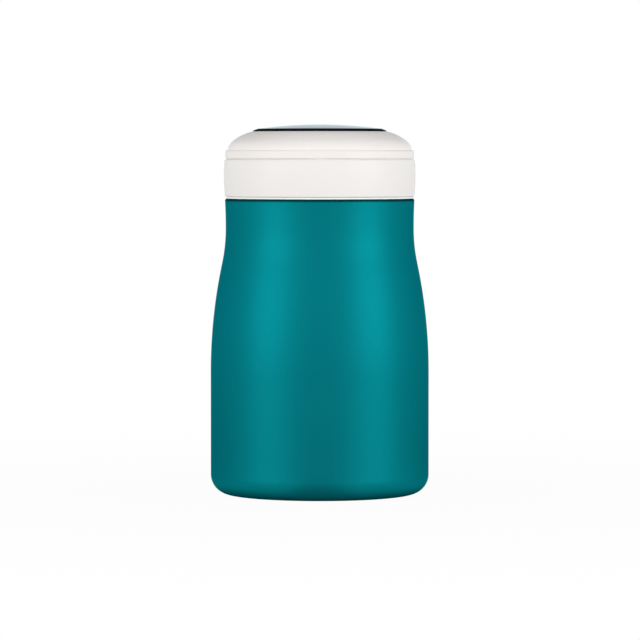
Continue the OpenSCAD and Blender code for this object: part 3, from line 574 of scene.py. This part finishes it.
# Lid band: the lid's carrier, moulded in the same matt white a shade warmer. A plain band stands over the
# collar, with a lip behind it that closes the seam. A web closes the band above the spout, the knuckle of the
# hinge grows out of its back, and a fingernail fits its front nick.
BAND_TOP, BAND_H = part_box("lid_dome")[0].z * 1000, 3.0
LID_R = -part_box("lid_band")[0].y * 1000
WEB_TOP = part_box("lid_band")[1].z * 1000
LIP_GAP, LIP_BACK, LIP_EDGE, LIP_FILLET = 0.02, 0.53, 0.05, 0.04
BAND_IN, BAND_LOW_EDGE, BAND_TOP_EDGE = 32.6, 0.48, 0.7
WEB_LOW, WEB_R, WEB_EDGE = 126.6, 30.56, 0.2
RIM_R, RIM_TOP, RIM_EDGE = 31.83, 126.6, 0.1
COVE_R, COVE_Z, COVE_EDGE = 28.6, 124.4, 0.6
NICK_W, NICK_DEPTH, FRONT = 2.6, 0.48, 1.5 * np.pi
NICK_ROWS, NICK_COLUMNS = (0.7, 0.85, 1.0, 1.1, 1.2, 1.3, 1.4, 1.6), np.linspace(-1.4, 1.4, 29)
KNUCKLE_HALF, KNUCKLE_BORE_R, KNUCKLE_FIRST = 4.3, 1.06, 1
KNUCKLE_FOOT, KNUCKLE_HEAD_Z, KNUCKLE_ROOT_Y = (33.8, 125.3), 123.6, 33.3
HEEL_R, HEEL_AT, HEEL_TIP, HEEL_BACK = 2.7, math.radians(331.4), math.radians(6), math.radians(45)

lid_low, lip_low, lip_r = BAND_TOP - BAND_H, SKIRT_TOP + LIP_GAP, LID_R - LIP_BACK
band_line = outline([(0, WEB_LOW, 0), (COVE_R, WEB_LOW, COVE_EDGE), (BAND_IN, COVE_Z, COVE_EDGE),
                     (BAND_IN, lip_low, LIP_EDGE), (lip_r, lip_low, LIP_EDGE), (lip_r, lid_low, LIP_FILLET),
                     (LID_R, lid_low, BAND_LOW_EDGE), *((LID_R, lid_low + rise, 0) for rise in NICK_ROWS),
                     (LID_R, BAND_TOP, BAND_TOP_EDGE), (RIM_R, BAND_TOP, RIM_EDGE),
                     (RIM_R, RIM_TOP, RIM_EDGE), (WEB_R, WEB_TOP, WEB_EDGE), (0, WEB_TOP, 0)])


def fingernail_nick(r, z, a):
    """Takes a round scoop out of the lower front edge: across it goes as deep as a circle of the nick's
    width does, and it runs out upwards as the square of the height that is left."""
    half = NICK_W / 2
    across = np.sqrt(np.clip(half ** 2 - (LID_R * (a - FRONT)) ** 2, 0, None)) - half + NICK_DEPTH
    up = np.clip((lid_low + half - z) / half, 0, 1) ** 2
    return np.minimum(LID_R - np.clip(across, 0, None) * up - r, 0)


band_round = np.unique(np.concatenate((ALL_ROUND, FRONT + NICK_COLUMNS / LID_R)))
warm_white = finish("warm_white_plastic", ((0.858, 0.82, 0.79), (0.888, 0.85, 0.82)), **FINE_MATT)
dress(turned("lid_band_ring", band_line, around=band_round, swell=fingernail_nick), warm_white, "lid",
      "white_plastic", "lid_band")

knuckle_web = hinge_web(KNUCKLE_FOOT, KNUCKLE_ROOT_Y, KNUCKLE_HEAD_Z, -1)
heel = [(distance * math.cos(at), distance * math.sin(at)) for distance, at in (
    (HEEL_R, HEEL_AT), (HEEL_R, HEEL_AT + HEEL_TIP), (BARREL_R, HEEL_AT + HEEL_BACK))]
knuckle = hinge_piece("hinge_knuckle", [knuckle_web, heel], KNUCKLE_BORE_R, -KNUCKLE_HALF, KNUCKLE_HALF,
                      KNUCKLE_FIRST)
dress(knuckle, warm_white, "lid", "white_plastic", "lid_band")


# Stopper: a hollow moulded plug screwed under the web, with foam inside. A silicone lip seal with two round
# beads sits in its groove and closes the spout.
PLUG_LOW, PLUG_TOP = (corner.z * 1000 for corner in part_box("stopper"))
PLUG_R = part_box("stopper")[1].x * 1000
PLUG_LOW_R, PLUG_EDGE, PLUG_TOP_EDGE = 23.1, 0.9, 0.1
CAVITY_R, CAVITY_LOW, CAVITY_FILLET = 20.8, 119.4, 0.5
GROOVE_R, GROOVE_LOW, GROOVE_TOP, GROOVE_EDGE, GROOVE_FILLET = 22.3, 121.2, 123.6, 0.15, 0.1
DISH_R, DISH_H, DISH_RUN, DISH_EDGE = 18.0, 0.3, 1, 0.6
BEAD_LOW, BEAD_TOP = (corner.z * 1000 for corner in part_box("stopper_seal"))
BEAD_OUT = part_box("stopper_seal")[1].x * 1000
BEAD_BACK, BEAD_BACK_EDGE, BEAD_ROUND = 22.35, 0.1, 0.4
VALLEY_R, VALLEY_HALF, VALLEY_FILLET = 24.0, 0.15, 0.08

plug_line = outline([(0, PLUG_LOW + DISH_H, 0), (DISH_R, PLUG_LOW + DISH_H, DISH_EDGE),
                     (DISH_R + DISH_RUN, PLUG_LOW, DISH_EDGE), (PLUG_LOW_R, PLUG_LOW, PLUG_EDGE),
                     (PLUG_R, GROOVE_LOW, GROOVE_EDGE), (GROOVE_R, GROOVE_LOW, GROOVE_FILLET),
                     (GROOVE_R, GROOVE_TOP, GROOVE_FILLET), (PLUG_R, GROOVE_TOP, GROOVE_EDGE),
                     (PLUG_R, PLUG_TOP, PLUG_TOP_EDGE), (CAVITY_R, PLUG_TOP, PLUG_TOP_EDGE),
                     (CAVITY_R, CAVITY_LOW, CAVITY_FILLET), (0, CAVITY_LOW, 0)])
valley_z = (BEAD_LOW + BEAD_TOP) / 2
bead_line = outline([(BEAD_BACK, BEAD_LOW, BEAD_BACK_EDGE), (BEAD_OUT, BEAD_LOW, BEAD_ROUND),
                     (BEAD_OUT, valley_z - VALLEY_HALF, BEAD_ROUND), (VALLEY_R, valley_z, VALLEY_FILLET),
                     (BEAD_OUT, valley_z + VALLEY_HALF, BEAD_ROUND), (BEAD_OUT, BEAD_TOP, BEAD_ROUND),
                     (BEAD_BACK, BEAD_TOP, BEAD_BACK_EDGE)])
dress(turned("stopper_plug", plug_line), core_plastic, "lid", "core_plastic", "stopper")
dress(turned("stopper_lip_seal", bead_line, loop=True), silicone, "lid", "silicone", "stopper_seal")

cut_foam = finish("cut_foam", ((0.78, 0.73, 0.58), (0.88, 0.84, 0.70)), patches=900, fine=2500,
                  rough=(0.85, 1), relief=0.3)
bright_steel = finish("bright_screw_steel", ((0.47, 0.47, 0.465), (0.53, 0.53, 0.525)), patches=300,
                      fine=2000, rough=(0.2, 0.35), relief=0.004, fixed={"Metallic": 1})
for node, material in (("stopper_foam", cut_foam), ("lid_screws", bright_steel)):
    frame["nodes"][node].material_slots[0].material = material


# Lid dome and disc: a matt white moulding clipped over the band, with a recess in its top. A black acrylic
# disc with a polished crown and a matt, sawn edge and chamfer is stuck into it with an adhesive pad. The soft
# boxes are flagged off from the disc, because their mirror image would wipe it out.
DOME_FOOT_Z, DOME_TOP = (corner.z * 1000 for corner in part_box("lid_dome"))
DOME_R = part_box("lid_dome")[1].x * 1000
DOME_IN, DOME_WALL, CEILING_R, CEILING_Z = 31.93, 1.6, 27.51, 130.25
DOME_SLOPES, DOME_CURVES, INSIDE_SLOPES = (80, 36, 14), np.array((5.997, 18.849)), (66.7, 36, 24.5)
DOME_FOOT_EDGE, DOME_FOOT_EDGE_IN, CLIP_GAP = 0.03, 0.05, 0.1
DOME_RIM_R, DOME_RIM_EDGE, DOME_RIM_RISE = 24.9, 0.3, 0.1
POCKET_R, POCKET_FLOOR, POCKET_EDGE = 24.5, 131.75, 0.1
DISC_LOW, DISC_TOP = (corner.z * 1000 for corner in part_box("lid_disc"))
DISC_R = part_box("lid_disc")[1].x * 1000
DISC_EDGE_H, DISC_EDGE = 1.1, 0.1
CHAMFER_W, CHAMFER_H, CHAMFER_EDGE = 1.8, 0.68, 0.2
CROWN_STEPS, CROWN_GAP = 24, 1


def two_arcs(wide, low, degrees, radii):
    """Corners of two full arcs that run up and in from the point (wide, low), the first from slope to slope
    and the second on to the third. A corner lies radius * tan(half the turn) beyond both ends of its arc.
    The arcs are a hair smaller than that, so that they don't meet."""
    slopes = np.radians(degrees)
    reach = radii * np.tan((slopes[:-1] - slopes[1:]) / 2)
    side = (wide - reach[0] * math.cos(slopes[0]), low + reach[0] * math.sin(slopes[0]))
    top = (side[0] - reach.sum() * math.cos(slopes[1]), side[1] + reach.sum() * math.sin(slopes[1]))
    return [(*side, radii[0] * ARC_SHARE), (*top, radii[1] * ARC_SHARE)]


clip_z = RIM_TOP + CLIP_GAP
dome_line = outline([(0, CEILING_Z, 0), (CEILING_R, CEILING_Z, 0),
                     *two_arcs(DOME_IN, clip_z, INSIDE_SLOPES, DOME_CURVES - DOME_WALL)[::-1],
                     (DOME_IN, clip_z, 0), (DOME_IN, DOME_FOOT_Z, DOME_FOOT_EDGE_IN),
                     (DOME_R, DOME_FOOT_Z, DOME_FOOT_EDGE),
                     *two_arcs(DOME_R, DOME_FOOT_Z, DOME_SLOPES, DOME_CURVES),
                     (DOME_RIM_R, DOME_TOP, DOME_RIM_EDGE), (POCKET_R, DOME_TOP + DOME_RIM_RISE, POCKET_EDGE),
                     (POCKET_R, POCKET_FLOOR, POCKET_EDGE), (0, POCKET_FLOOR, 0)])
dress(turned("lid_dome_moulded", dome_line), warm_white, "lid", "white_plastic", "lid_dome")

edge_z, crown_w = DISC_LOW + DISC_EDGE_H, DISC_R - CHAMFER_W
crown_low = edge_z + CHAMFER_H
crown_h = DISC_TOP - crown_low
crown_curve = (crown_w ** 2 + crown_h ** 2) / (2 * crown_h)
crown = [(r, DISC_TOP - crown_curve + math.sqrt(crown_curve ** 2 - r * r), 0)
         for r in np.linspace(crown_w - CROWN_GAP, 0, CROWN_STEPS)]
disc_line = outline([(0, DISC_LOW, 0), (DISC_R, DISC_LOW, DISC_EDGE), (DISC_R, edge_z, DISC_EDGE),
                     (crown_w, crown_low, CHAMFER_EDGE), *crown])
black_acrylic = finish("polished_black_acrylic", ((0.004, 0.006, 0.008), (0.007, 0.009, 0.011)), patches=40,
                       fine=600, rough=(0.04, 0.09), relief=0.0006, fixed={"IOR": 1.49})
sawn_edge = finish("sawn_black_edge", ((0.003, 0.0035, 0.004), (0.005, 0.006, 0.007)), patches=200,
                   fine=4000, rough=(0.7, 0.9), relief=0.004, fixed={"Specular IOR Level": 0.06})
disc = turned("lid_disc_polished", disc_line)
dress(disc, black_acrylic, "lid", "black_gloss", "lid_disc")
disc.data.materials.append(sawn_edge)
spots = np.empty(3 * len(disc.data.polygons))
disc.data.polygons.foreach_get("center", spots)
on_edge = np.hypot(spots[0::3], spots[1::3]) * 1000 > crown_w
disc.data.polygons.foreach_set("material_index", on_edge.astype(np.int32))
flagged = bpy.data.collections.new("flagged_from_soft_boxes")
flagged.objects.link(disc)
flagged.collection_objects[0].light_linking.link_state = "EXCLUDE"
for box in soft_boxes:
    box.light_linking.receiver_collection = flagged
adhesive = finish("adhesive_pad", ((0.09, 0.09, 0.09), (0.15, 0.15, 0.15)), patches=300, fine=3000,
                  rough=(0.6, 0.8), relief=0.03)
frame["nodes"]["disc_pad"].material_slots[0].material = adhesive
